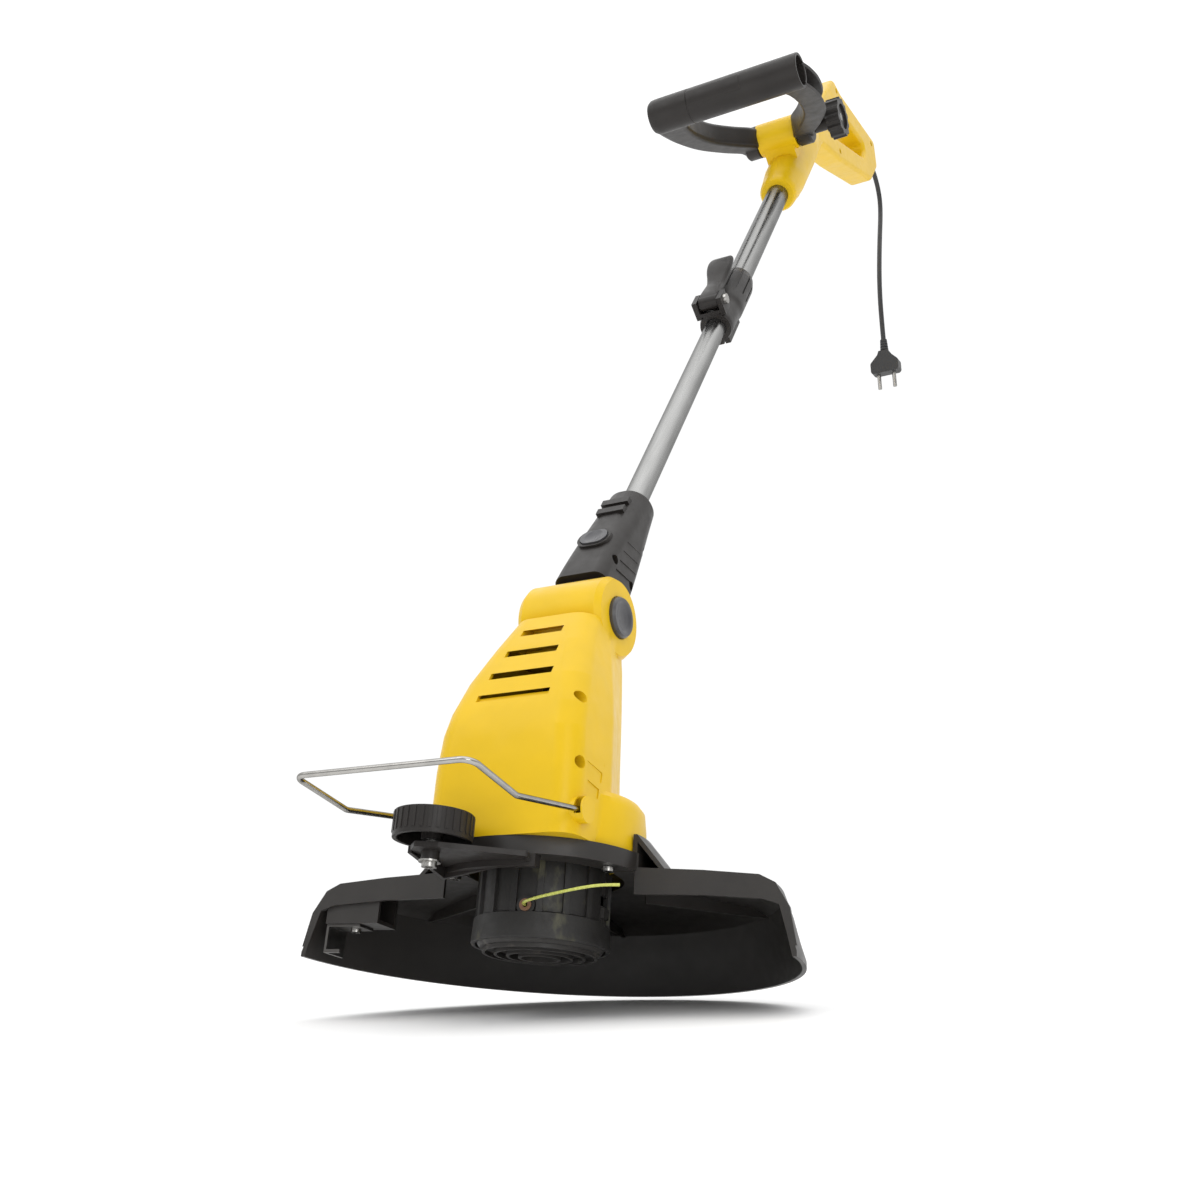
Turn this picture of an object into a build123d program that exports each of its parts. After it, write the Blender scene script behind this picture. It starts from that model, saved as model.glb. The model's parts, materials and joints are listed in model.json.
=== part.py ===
from build123d import *
import math
import os

# Electric string trimmer with a telescopic shaft, a tilting and turning head, a bump-feed
# line head, an edging wheel, a wire plant guard and a short captive mains lead.
# Millimetres. Row frame: +X to the right of the operator's left-right axis, +Y back to
# the operator, +Z up. The origin is the middle of the rear grip.
#
# Two working frames are used. The head frame has the spindle as its Z axis, with the
# drum's lower rim at z = 0. The shaft frame has its origin on the tilt knuckle and the
# shaft tubes as its Z axis; its -Y side is the front of the tool.

# ---------------------------------------------------------------- driving dimensions
LEAN = 12.0                 # spindle leans back from the vertical
SHAFT_TILT = 29.0           # shaft leans back from the spindle
KNUCKLE_Y = 15.0            # tilt axis, head frame
KNUCKLE_Z = 208.0
GRIP_Y = 50.0               # middle of the rear grip, shaft frame
GRIP_Z = 1052.0

WALL = 2.5                  # moulded casing wall
RUN = 0.06                  # radial clearance of a running fit
GAP = 0.4                   # gap between parts that move past each other

DRUM_R = 40.0               # line head
DRUM_TOP = 46.0
SKIRT_Z = 14.0
SPOOL_R = 33.5
EYELET_ANGLE = -74.0
EYELET_Z = 17.5
EYELET_R = 2.5
LINE_D = 1.6

GUARD_R = 153.0             # guard rim
GUARD_TURN = 6.0            # guard sits turned this far about the spindle
GUARD_BACK = -9.0           # centre of the guard's rim, along Y
GUARD_RIM_Z = -6.0
GUARD_RING_R = 62.0
FOOT_Z = 51.0               # casing's flat foot, on the guard's collar
GUARD_RING_Z = (FOOT_Z - 10, FOOT_Z)

KNUCKLE_R = 27.0
KNUCKLE_HALF = 30.0
TONGUE_HALF = 16.6          # neck tongue between the casing's cheeks
HUB_R = 23.6

LOWER_R = 9.0               # tubes
UPPER_R = 11.0
TUBE_WALL = 1.2
NECK_TOP = 130.0
NECK_BUTTON_Z = 66.0
LOWER_TUBE = (64.0, 530.0)
UPPER_TUBE = (450.0, 800.0)
CLAMP = (408.0, 500.0)
LEVER_Y = -20.5
LEVER_Z = 416.0

SOCKET_Z = 700.0            # rear handle
SOCKET_R = 21.5
GRIP_HALF = 15.0
BOSS_Y = -37.0              # front handle's cross boss
BOSS_Z = 770.0
BOSS_R = 17.0
BOSS_HALF = 20.0
LOOP_ANGLE = 35.0           # front handle loop, off the shaft
LOOP_REACH = 156.0
LOOP_HALF = 76.0

WHEEL = (-22.0, -86.0, 43.5)
WHEEL_R = 21.8
WHEEL_WIDTH = 15.0

BAIL_WIRE = 3.2             # wire plant guard, hinged at its bosses
BAIL_Y = -50.0
BAIL_Z = 65.0
BAIL_HALF = 50.0
BAIL_KINK = (53.0, -123.0, 53.0)
BAIL_CORNER = (53.5, -167.0, 59.0)
BAIL_SWING = 60.0

CORD_D = 6.0
PIN_R = 2.4
PIN_LENGTH = 19.0
PIN_SPACING = 19.0
PLUG_FACE = -45.0           # plug's flat face, below the cord's end
GLAND_TIP = 10.0            # free end of the cord gland, off the handle

os.makedirs("parts", exist_ok=True)

# ---------------------------------------------------------------- frames and helpers
TILTED = Location((0, 0, 0), (-LEAN, 0, 0))
IN_HEAD = Location((0, KNUCKLE_Y, KNUCKLE_Z), (-SHAFT_TILT, 0, 0))
GRIP_POINT = (TILTED * IN_HEAD * Location((0, GRIP_Y, GRIP_Z))).position
HEAD = Location(-GRIP_POINT) * TILTED
SHAFT = HEAD * IN_HEAD

NODES = {}


def add(name, frame, shape):
    """Place a finished piece in the row frame and keep it for export."""
    NODES[name] = frame * shape


def cyl(radius, low, high, x=0.0, y=0.0):
    """Upright cylinder between two heights."""
    return Pos(x, y, (low + high) / 2) * Cylinder(radius, high - low)


def ring(outer, inner, low, high, x=0.0, y=0.0):
    """Upright tube between two heights."""
    return cyl(outer, low, high, x, y) - cyl(inner, low - 1, high + 1, x, y)


def xcyl(radius, left, right, y, z):
    """Cylinder along X."""
    return Pos((left + right) / 2, y, z) * Rot(0, 90, 0) * Cylinder(radius, right - left)


def block(x, y, z):
    """Box from three (low, high) pairs."""
    centre = [(a + b) / 2 for a, b in (x, y, z)]
    return Pos(*centre) * Box(x[1] - x[0], y[1] - y[0], z[1] - z[0])


def lathe(points):
    """Solid of revolution about Z from (radius, z) points."""
    face = make_face(Polyline(*[(r, 0, z) for r, z in points], close=True))
    return revolve(face, Axis.Z, 360)


def side_profile(points, half, radius=0.0):
    """Prism along X from a (y, z) outline, with its outline corners rounded."""
    face = make_face(Polyline(*[(0, y, z) for y, z in points], close=True))
    if radius:
        face = fillet(face.vertices(), radius)
    return extrude(face, half, dir=(1, 0, 0), both=True)


def around(count, shape, start=0.0):
    """Copies of a shape turned evenly about Z."""
    return [Rot(0, 0, start + 360 * i / count) * shape for i in range(count)]


def halves(shape):
    """Left and right half of a casing, parted on the plane X = 0."""
    big = 1000
    left = shape & Pos(-big / 2, 0, 0) * Box(big, 4 * big, 4 * big)
    right = shape & Pos(big / 2, 0, 0) * Box(big, 4 * big, 4 * big)
    return left, right


def coil(radius, wire, low, high, turns):
    """Compression spring about Z."""
    path = Pos(0, 0, low) * Helix((high - low) / turns, high - low, radius)
    start = path @ 0
    section = Plane(origin=start, z_dir=path % 0) * Circle(wire / 2)
    return sweep(section, path)


def screw(radius, head_radius, head, length):
    """Screw with its head's flat under face at z = 0 and its shank below."""
    body = cyl(head_radius, 0, head) + cyl(radius, -length, 0)
    return body - cyl(head_radius * 0.45, head * 0.5, head + 1)


# ---------------------------------------------------------------- line head
def drum():
    """Driven drum: smooth skirt, ribbed upper wall, long hub on the motor shaft."""
    wall = lathe([
        (4.0, DRUM_TOP), (36.0, DRUM_TOP), (37.0, DRUM_TOP - 1), (37.0, SKIRT_Z + 1),
        (39.4, SKIRT_Z), (DRUM_R, 1), (DRUM_R - 0.4, 0), (37.6, 0), (37.6, SKIRT_Z - 2),
        (34.8, SKIRT_Z - 1), (34.8, DRUM_TOP - 3), (8.0, DRUM_TOP - 3), (8.0, 10), (4.0, 10)])
    rib = block((36.5, 38.8), (-1.8, 1.8), (SKIRT_Z - 0.5, DRUM_TOP - 2))
    ribs = around(16, rib, start=EYELET_ANGLE + 11.25)
    pad = Pos(37.6, 0, EYELET_Z) * Rot(0, 90, 0) * Cylinder(5.2, 2.6)
    bore = Pos(37, 0, EYELET_Z) * Rot(0, 90, 0) * Cylinder(EYELET_R, 12)
    slot = block((34, 42), (-5.5, 5.5), (12, 30))
    body = wall + ribs + around(2, pad, EYELET_ANGLE)
    return body - around(2, bore, EYELET_ANGLE) - around(2, slot, 10)


def eyelets():
    """Two metal line guides pressed through the drum wall."""
    one = cyl(EYELET_R, 34.9, 38.9) + cyl(EYELET_R + 0.9, 38.9, 39.9) - cyl(1.4, 30, 45)
    one = Rot(0, 90, 0) * one
    return Compound(children=around(2, Pos(0, 0, EYELET_Z) * one, EYELET_ANGLE))


def bump_cap():
    """Cover under the spool, with four ground-bumping rings and two latches."""
    profile = [(0, 3.5), (36.6, 3.5), (36.9, 1.5), (34.6, -1.6)]
    for outer, low in ((33.2, -4.0), (26.3, -4.6), (19.3, -5.2), (12.2, -5.7)):
        profile += [(outer, -1.6), (outer, low), (outer - 1.8, low), (outer - 1.8, -1.6)]
    profile += [(0, -1.6)]
    latch = block((35.0, 37.0), (-4.5, 4.5), (2.5, 24))
    latch += block((36.9, 38.6), (-4.5, 4.5), (17, 23))
    return lathe(profile) + cyl(12.0, 3.4, 5.0) + around(2, latch, 10)


def spool():
    """Two-chamber spool that slides on the drum's hub."""
    hub = ring(13.5, 8.4, 5.0, 35.0)
    return hub + [ring(SPOOL_R, 8.4, low, low + 1.5) for low in (5.0, 19.5, 33.5)]


def line_windings():
    """Wound cutting line, one bundle in each chamber."""
    chambers = ((6.5, 19.5), (21.0, 33.5))
    return Compound(children=[ring(27.0, 13.55, low, high) for low, high in chambers])


def line_route(turn):
    """Route of a free line end, from its eyelet out past the drum, turned about the spindle."""
    away = math.radians(EYELET_ANGLE)
    start = (40.0 * math.cos(away), 40.0 * math.sin(away), EYELET_Z)
    points = [start, (12.6, -44.0, 17.0), (18.0, -49.5, 17.0), (28.0, -53.5, 17.8),
              (43.0, -57.5, 18.9), (58.0, -61.0, 20.0), (71.0, -61.5, 21.0), (79.0, -57.0, 21.5)]
    c, s = math.cos(math.radians(turn)), math.sin(math.radians(turn))
    return [(x * c - y * s, x * s + y * c, z) for x, y, z in points]


def tube_along(points, diameter, least):
    """Round tube along straight runs joined by tangent arcs, with its figures printed."""
    ends = [Vector(*p) for p in points]
    runs = [(b - a) for a, b in zip(ends, ends[1:])]
    radii = []
    for first, second in zip(runs, runs[1:]):
        turn = math.radians(first.get_angle(second))
        radii.append(0.45 * min(first.length, second.length) / math.tan(turn / 2))
    path = FilletPolyline(*ends, radius=radii)
    section = Plane(origin=ends[0], z_dir=runs[0]) * Circle(diameter / 2)
    tube = sweep(section, path)
    ideal = math.pi * diameter ** 2 / 4 * path.length
    print("radii", [round(r, 1) for r in radii], "least wanted", least * diameter,
          "length", round(path.length, 1), "volume ratio", round(tube.volume / ideal, 4))
    return tube


# ---------------------------------------------------------------- guard and what it carries
def guard():
    """Half-round debris guard: collar under the casing, sloping plate, curved skirt, end lips."""
    outer = lathe([
        (46, FOOT_Z), (GUARD_RING_R, FOOT_Z), (GUARD_RING_R, 43), (100, 40.5), (132, 37.5), (141, 33),
        (146, 20), (150, 6), (GUARD_R, GUARD_RIM_Z + 3), (GUARD_R, GUARD_RIM_Z),
        (GUARD_R - 2.4, GUARD_RIM_Z), (147.6, 6), (143.6, 20), (139, 31), (131, 35), (100, 38),
        (GUARD_RING_R - 2.5, 40.5), (46, 40.5)])
    shell = Pos(0, GUARD_BACK, 0) * outer
    back = block((-200, 200), (-12, 200), (-50, 100))
    collar = ring(GUARD_RING_R, 46, *GUARD_RING_Z)
    fairing = lathe([(59.4, FOOT_Z - 1), (59.4, 62), (61.6, 62), (80.5, 39.6), (77.5, 39.6), (62, 57.5),
                     (62, FOOT_Z - 1)])
    hole = cyl(46, -50, 60)
    lip_profile = [(60, 28), (100, 27), (134, 24.5), (146, 20.5), (GUARD_R - 3, 0), (GUARD_R, 0),
                   (149, 20), (141, 33.2), (132, 37.7), (100, 40.7), (60, 43)]
    lips = []
    for side in (-1, 1):
        face = make_face(Polyline(*[(side * x, -12, z) for x, z in lip_profile], close=True))
        lips.append(extrude(face, 2.4, dir=(0, 1, 0)))
    rib = block((64, 143), (-1, 1), (30, 39))
    ribs = [(Pos(0, GUARD_BACK, 0) * Rot(0, 0, angle) * rib) & shell_core() for angle in (35, 90, 145)]
    body = (shell & back) + (fairing & back) + collar + lips + ribs - hole
    for x, y in guard_screw_spots(-GUARD_TURN):
        body -= cyl(1.9, 30, 60, x, y) + cyl(4.0, 30, GUARD_RING_Z[0] - 0.5, x, y)
    x, y = CUTTER_SPOT
    seat = block((x - 16, x + 20), (-9.7, y + 12), (CUTTER_Z, 36.5))
    seat -= block((x - 20, x + 30), (-7.3, y + 9.6), (CUTTER_Z + 2.4, 40))
    return body + (seat & guard_solid()) - cyl(1.6, -20, CUTTER_Z + 10, x, y)


def guard_solid():
    """The guard's outer form without its hollow, which trims what is added inside it."""
    return Pos(0, GUARD_BACK, 0) * lathe([
        (0, 39.5), (100, 39.5), (131, 36.5), (140, 32), (145, 20), (149, 6), (149, 0), (0, 0)])


def shell_core():
    """Space between the guard's plate and skirt that the stiffening ribs may fill."""
    return Pos(0, GUARD_BACK, 0) * lathe([
        (60, 40), (100, 38.6), (131, 35.6), (140, 31), (143, 24), (120, 30), (60, 31)])


def guard_screw_spots(turn=0.0):
    """Screws that hold the guard's collar under the casing's foot."""
    angles = [math.radians(a + turn) for a in (-20, 90, 200)]
    return [(54 * math.cos(a), 54 * math.sin(a)) for a in angles]


CUTTER_SPOT = (-124.0, 0.0)     # screw of the line cutter, on the left end of the guard
CUTTER_Z = 14.0                 # under face of the cutter's seat


def guard_screws():
    """Three screws from below, through the collar into the casing's foot."""
    one = Rot(180, 0, 0) * screw(1.9, 3.6, 2.4, 14)
    return Compound(children=[Pos(x, y, GUARD_RING_Z[0] - 0.5) * one for x, y in guard_screw_spots()])


def line_cutter():
    """Steel blade in the guard's left end that trims the line to length, with its bent foot."""
    x, y = CUTTER_SPOT
    foot = block((x - 16, x + 7), (y - 8, y + 8), (CUTTER_Z - 1.6, CUTTER_Z)) - cyl(1.6, 0, 50, x, y)
    blade = block((x - 16, x - 14.4), (y - 8, y + 12), (-3.0, CUTTER_Z - 1.5))
    lip = block((x - 16, x - 5), (y - 8, y - 6.4), (-3.0, -1.0))
    return foot + blade + lip


def cutter_screw():
    """Screw that holds the line cutter up against the guard's plate."""
    x, y = CUTTER_SPOT
    return Pos(x, y, CUTTER_Z - 1.6) * Rot(180, 0, 0) * screw(1.6, 3.2, 2.2, 6)


def wheel_bracket():
    """Triangular plate from the guard's collar out under the edging wheel, with deepening flanges."""
    x, y, z = WHEEL
    low, high = z - 11.0, z - 3.0
    tip, inner, end = (x - 11, y - 4), (-37, -50), (24, -60)
    outline = [tip, (x - 2, y - 13), (x + 10, y - 8), (26, -64), end, (-20, -58), inner]
    face = make_face(Polyline(*[(px, py, high - 3) for px, py in outline], close=True))
    arm = extrude(fillet(face.vertices(), 2), 3, dir=(0, 0, 1))
    for first, last in ((tip, inner), (end, inner)):
        corners = [(*first, high), (*inner, high), (*inner, low - 1.5), (*first, high - 4)]
        arm += extrude(make_face(Polyline(*corners, close=True)), 1.2, both=True)
    root = ring(GUARD_RING_R, 57.0, low + 1.5, GUARD_RING_Z[0]) & block((-36, 26), (-80, -40), (0, 60))
    bush = cyl(5.0, low, high + 1.4, x, y)
    seat = cyl(GUARD_RING_R + GAP / 2, GUARD_RING_Z[0], GUARD_RING_Z[1] + 5)
    return arm + root + bush - seat - cyl(2.2, 0, 80, x, y)


def edge_wheel():
    """Ribbed edging wheel: treaded rim, web with spokes, hub on the axle screw."""
    tread = around(30, block((WHEEL_R - 0.6, WHEEL_R + 0.5), (-1.0, 1.0), (2.5, WHEEL_WIDTH - 1)))
    rim = ring(WHEEL_R, WHEEL_R - 2.4, 0, WHEEL_WIDTH - 0.5) + tread
    web = ring(WHEEL_R - 2.0, 4.0, WHEEL_WIDTH - 2.6, WHEEL_WIDTH)
    spokes = around(6, block((5.0, WHEEL_R - 1.5), (-0.9, 0.9), (6, WHEEL_WIDTH - 2)))
    hub = ring(6.0, 3.0, 0, WHEEL_WIDTH)
    return Pos(*WHEEL) * (rim + web + spokes + hub)


def wheel_screw():
    """Shouldered axle screw of the edging wheel, driven from below."""
    x, y, z = WHEEL
    top = z + WHEEL_WIDTH
    shank = cyl(2.2, z - 12, z) + cyl(3.0 - RUN, z - 1.2, top) + cyl(2.9, top - 1, top + 1)
    body = cyl(4.2, z - 14.6, z - 12) + shank + cyl(5.2, top + GAP, top + 2)
    return Pos(x, y, 0) * (body - cyl(2.0, z - 20, z - 13.4))


def wheel_washer():
    """Washer between the axle screw's head and the bracket."""
    x, y, z = WHEEL
    return ring(6.0, 2.3, z - 12, z - 11, x, y)


def bail_route():
    """Wire centre line from the left boss round the front to the right boss."""
    hinge = [(BAIL_HALF - 7.5, BAIL_Y, BAIL_Z), (BAIL_HALF, BAIL_Y, BAIL_Z)]
    right = hinge + [BAIL_KINK, BAIL_CORNER]
    return [(-x, y, z) for x, y, z in right] + right[::-1]


def bail_slot():
    """Outline of the room that the wire's arm needs in its boss, from shut down to swung up."""
    run = Vector(0, BAIL_KINK[1] - BAIL_Y, BAIL_KINK[2] - BAIL_Z).normalized() * 24
    corners = []
    for swing, edge in ((0.0, 90.0), (BAIL_SWING, -90.0)):
        along = run.rotate(Axis.X, -swing)
        start = along.normalized().rotate(Axis.X, edge) * (BAIL_WIRE / 2 + 0.6)
        pair = [(BAIL_Y + v.Y, BAIL_Z + v.Z) for v in (start, start + along)]
        corners += pair if edge > 0 else pair[::-1]
    return corners


def wire_guard():
    """Bent steel wire that keeps plants off the line, sprung into two bosses on the casing."""
    ends = [Vector(*p) for p in bail_route()]
    path = FilletPolyline(*ends, radius=[3.5, 9, 7, 7, 9, 3.5])
    section = Plane(origin=ends[0], z_dir=ends[1] - ends[0]) * Circle(BAIL_WIRE / 2)
    return sweep(section, path)


# ---------------------------------------------------------------- motor casing
def casing_section(z, wide, front, side, rear, back, inset=0.0, corner=14.0):
    """One level section: blunt front, flat sides, tapering back."""
    w, f, r, b = wide - inset, front + inset, rear - inset * 0.8, back - inset
    outline = [(w, f), (w, side), (r, b), (-r, b), (-w, side), (-w, f)]
    face = make_face(Polyline(*[(x, y, z) for x, y in outline], close=True))
    return fillet(face.vertices(), corner - inset)


CASING = [(51.0, 49.0, -61.5, -16.0, 26.0, 40.0), (92.0, 48.5, -61.5, -16.0, 26.0, 39.0),
          (114.0, 47.0, -60.5, -14.5, 25.5, 38.3), (128.0, 45.5, -57.0, -12.0, 25.3, 38.0),
          (150.0, 41.5, -48.0, -8.0, 25.0, 38.0),
          (176.0, 34.5, -34.0, 0.0, 24.0, 39.0), (200.0, 28.5, -19.0, 4.0, 22.0, 40.0)]


def casing_loft(rows, inset=0.0):
    """Body through level sections, straight from each to the next."""
    return loft([casing_section(*row, inset=inset) for row in rows], ruled=True)


def casing_outer():
    """Casing body, round foot and tilt knuckle as one form."""
    body = casing_loft(CASING)
    foot = lathe([(0, FOOT_Z), (58, FOOT_Z), (58.5, 53), (57.5, 70), (56.3, 80), (53.5, 83.5), (46, 85.5),
                  (0, 85.5)])
    barrel = Rot(0, 90, 0) * lathe([
        (0, -KNUCKLE_HALF), (24, -KNUCKLE_HALF), (KNUCKLE_R, -KNUCKLE_HALF + 4),
        (KNUCKLE_R, KNUCKLE_HALF - 4), (24.4, KNUCKLE_HALF), (0, KNUCKLE_HALF)])
    bosses = [xcyl(7.5, side * 46.5 - 7, side * 46.5 + 7, BAIL_Y, BAIL_Z) for side in (-1, 1)]
    return body + foot + Pos(0, KNUCKLE_Y, KNUCKLE_Z) * barrel + bosses


def casing_hollow():
    """Space inside the casing for the motor."""
    body = casing_loft([(54.0,) + CASING[0][1:]] + CASING[1:6], WALL)
    foot = lathe([(0, 54), (55.5, 54), (54.7, 70), (53.6, 79), (44, 82.5), (0, 82.5)])
    return body + foot + block((-30, 30), (-58.7, -40), (54, 72))


def knuckle_slot():
    """Opening in the knuckle that the neck's tongue swings in."""
    reach = 60.0
    fan = [(0.0, 0.0)]
    for angle in (-13, 10, 40, 70, 95, 118):
        fan.append((reach * math.sin(math.radians(angle)), reach * math.cos(math.radians(angle))))
    wedge = side_profile([(KNUCKLE_Y + y, KNUCKLE_Z + z) for y, z in fan], TONGUE_HALF + GAP)
    hub = xcyl(HUB_R + GAP, -TONGUE_HALF - GAP, TONGUE_HALF + GAP, KNUCKLE_Y, KNUCKLE_Z)
    return wedge + hub


VENTS = [(182.0, 14.5), (168.5, 18.0), (154.5, 21.5), (141.0, 24.5)]


def casing():
    """Finished casing before it is parted into its two halves."""
    shell = casing_outer() - casing_hollow() - knuckle_slot()
    shell -= xcyl(13.8, KNUCKLE_HALF - 11, KNUCKLE_HALF + 5, KNUCKLE_Y, KNUCKLE_Z)
    shell -= xcyl(6.0, -26, KNUCKLE_HALF - 10, KNUCKLE_Y, KNUCKLE_Z)
    for z, half in VENTS:
        shell -= Pos(0, -40, z) * Rot(20, 0, 0) * Box(2 * half, 56, 3.6)
    seat = ring(14.0, 11.0, 53.5, 61.0)
    shell = shell + seat - cyl(7.0, 40, 54)
    for side in (-1, 1):
        for k, length in enumerate((22, 18, 14)):
            shell -= Pos(side * 49.5, -36 - k, 101 - 10.5 * k) * Rot(-8, 0, 0) * Box(3.0, length, 6.0)
        shell -= xcyl(BAIL_WIRE / 2 + RUN, side * 45 - 6, side * 45 + 6, BAIL_Y, BAIL_Z)
        swing = side_profile(bail_slot(), 2.1)
        shell -= Pos(side * (BAIL_HALF + 0.4), 0, 0) * swing
        shell -= Pos(side * (BAIL_HALF - 1.5), 0, 0) * (swing & xcyl(6.5, -5, 5, BAIL_Y, BAIL_Z))
    for x, y in guard_screw_spots():
        shell = shell + (cyl(4.2, 53.5, 60, x, y) & casing_outer()) - cyl(1.9, 40, 57.5, x, y)
    cradles = [block((-50, 50), (-70, 50), (z, z + 3)) - cyl(30, z - 1, z + 4) for z in (84, 118)]
    for cradle in cradles:
        shell = shell + (cradle & casing_hollow())
    for y, z in CASING_SCREWS:
        shell = shell + (xcyl(5.6, -50, 50, y, z) & casing_hollow())
        shell -= xcyl(1.9, -9, 60, y, z)
        shell -= xcyl(3.7, 16, 60, y, z)
    return shell


CASING_SCREWS = [(-48.0, 132.0), (-52.0, 92.0), (34.0, 140.0)]


def casing_screws():
    """Screws that pull the two casing halves together."""
    one = Rot(0, 90, 0) * screw(1.9, 3.4, 2.4, 24)
    return Compound(children=[Pos(16, y, z) * one for y, z in CASING_SCREWS])


# ---------------------------------------------------------------- motor
def stator_core():
    """Laminated stator with two poles."""
    core = ring(30.0, 24.0, 82, 126)
    poles = [block((side * 20 - 5, side * 20 + 5), (-9, 9), (82, 126)) for side in (-1, 1)]
    return core + poles - cyl(17.0, 80, 130)


def field_windings():
    """Two field coils round the stator poles."""
    outer = block((17.5, 22.5), (-14, 14), (77, 131)) - block((15, 25), (-9.2, 9.2), (81.5, 126.5))
    one = outer & (cyl(23.5, 70, 140) - cyl(17.3, 70, 140))
    return Compound(children=[one, Rot(0, 0, 180) * one])


def rotor_windings():
    """Armature winding heads above and below the core."""
    low = lathe([(4, 76), (11, 76), (14, 79), (14, 84), (4, 84)])
    high = lathe([(4, 124), (14, 124), (14, 129), (11, 132), (4, 132)])
    return Compound(children=[low, high])


def rotor_core():
    """Slotted armature core."""
    slots = around(10, block((11.5, 17), (-1.1, 1.1), (80, 130)))
    return ring(16.2, 4.0, 84, 124) - slots


def commutator():
    """Copper commutator with its segment slots."""
    slots = around(20, block((10.2, 12), (-0.3, 0.3), (130, 150)))
    return ring(11.0, 4.0, 134, 146) - slots


def fan():
    """Cooling fan with curved-back blades above the lower bearing."""
    blades = around(12, Pos(24, 0, 66) * Rot(0, 0, 25) * Box(22, 1.4, 8))
    return ring(8.0, 4.0, 62.5, 72) + ring(37.0, 7.5, 70, 72) + [b & ring(37, 7.5, 60, 73) for b in blades]


def ball_bearing(radius, low, high):
    """Sealed ball bearing on the motor shaft."""
    return ring(radius, 4.0 + RUN, low, high) - ring(radius * 0.8, radius * 0.55, high - 0.4, high + 1)


def top_bracket():
    """Bracket on the stator that holds the upper bearing and the brushes."""
    legs = [block((side * 26 - 2.5, side * 26 + 2.5), (-8, 8), (126, 152)) for side in (-1, 1)]
    bridge = block((-28.5, 28.5), (-8, 8), (148, 152)) + ring(11.0, 8.0, 148, 158)
    return bridge + legs - cyl(8.0, 140, 160)


def brush_holders():
    """Two brass boxes that guide the carbon brushes."""
    one = block((13, 23.4), (-4.5, 4.5), (135.5, 144.5)) - block((12, 24), (-3.2, 3.2), (137, 143))
    return Compound(children=[one, Rot(0, 0, 180) * one])


def brushes():
    """Two carbon brushes, a hair off the commutator."""
    one = block((11.2, 22.0), (-3.1, 3.1), (137.1, 142.9))
    return Compound(children=[one, Rot(0, 0, 180) * one])


# ---------------------------------------------------------------- tilt knuckle and neck
def pivot_axle():
    """Steel axle of the tilt knuckle."""
    return xcyl(6.0, -26, KNUCKLE_HALF - 11.5, KNUCKLE_Y, KNUCKLE_Z)


def tilt_button():
    """Dished release button in the right cheek of the knuckle."""
    body = lathe([(0, 0), (13.4, 0), (13.4, 9.4), (12.2, 11.2), (10.4, 11.2), (8.0, 9.9), (4.0, 9.1),
                  (0, 8.9)])
    return Pos(KNUCKLE_HALF - 7.5, KNUCKLE_Y, KNUCKLE_Z) * Rot(0, 90, 0) * body


def neck_section(z, wide, deep, corner):
    """One cross section of the neck, square to the shaft."""
    return Pos(0, 0, z) * RectangleRounded(2 * wide, 2 * deep, corner)


def neck():
    """Neck before it is parted: tongue in the knuckle, sleeve round the lower tube."""
    sleeve = loft([neck_section(26, 19, 21, 8), neck_section(60, 18, 20, 9),
                   neck_section(98, 17.5, 18, 13), neck_section(NECK_TOP, 16.5, 16, 15)])
    web = block((-TONGUE_HALF, TONGUE_HALF), (-16, 16), (0, 32))
    hub = xcyl(HUB_R, -TONGUE_HALF, TONGUE_HALF, 0, 0)
    body = sleeve - xcyl(KNUCKLE_R + 1.2, -40, 40, 0, 0) + web + hub
    for low, high, proud in ((111, 117, 18.8), (99.5, 105.5, 19.6)):
        body += block((-10.5, 10.5), (-proud, -12), (low, high))
    rim = Pos(0, 0, NECK_BUTTON_Z) * Rot(90, 0, 0) * extrude(SlotOverall(25, 19), 21.8)
    pocket = Pos(0, 0, NECK_BUTTON_Z) * Rot(90, 0, 0) * extrude(SlotOverall(21, 15), 30)
    body = body + rim
    body -= cyl(LOWER_R + RUN, LOWER_TUBE[0] - 2, NECK_TOP + 5)
    body -= cyl(6.0, 34, LOWER_TUBE[0])
    body -= pocket - cyl(LOWER_R + 3.0, 40, 100)
    body -= xcyl(6.0 + RUN, -40, 40, 0, 0)
    for k in range(4):
        for side in (-1, 1):
            body -= Pos(side * 18.8, 2, 48 + 10 * k) * Rot(28, 0, 0) * Box(2.4, 24, 2.2)
    for y, z in NECK_SCREWS:
        body -= xcyl(1.7, -8, 40, y, z)
        body -= xcyl(3.4, 11, 40, y, z)
    return body


NECK_SCREWS = [(13.0, 52.0), (13.2, 92.0), (-13.0, 48.0)]


def neck_screws():
    """Screws that close the two neck halves."""
    one = Rot(0, 90, 0) * screw(1.7, 3.2, 2.2, 18)
    return Compound(children=[Pos(11, y, z) * one for y, z in NECK_SCREWS])


def neck_button():
    """Oval button that frees the head to turn about the shaft for edging."""
    body = Rot(90, 0, 0) * extrude(SlotOverall(20.2, 14.2), 7.0)
    dish = Pos(0, -22.5, 0) * Sphere(17.0)
    return Pos(0, -15.8, NECK_BUTTON_Z) * (body - dish)


def neck_spring():
    """Return spring of the neck's button."""
    return Pos(0, -12.2, NECK_BUTTON_Z) * Rot(90, 0, 0) * coil(4.0, 0.9, 0.4, 3.1, 3)


# ---------------------------------------------------------------- tubes and length clamp
def tube(radius, low, high):
    """Aluminium tube."""
    return ring(radius, radius - TUBE_WALL, low, high)


def tube_bush():
    """Plastic bush on the lower tube's top end that runs in the upper tube."""
    bore = UPPER_R - TUBE_WALL
    return ring(bore - RUN, LOWER_R, LOWER_TUBE[1] - 30, LOWER_TUBE[1] - 4)


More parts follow.
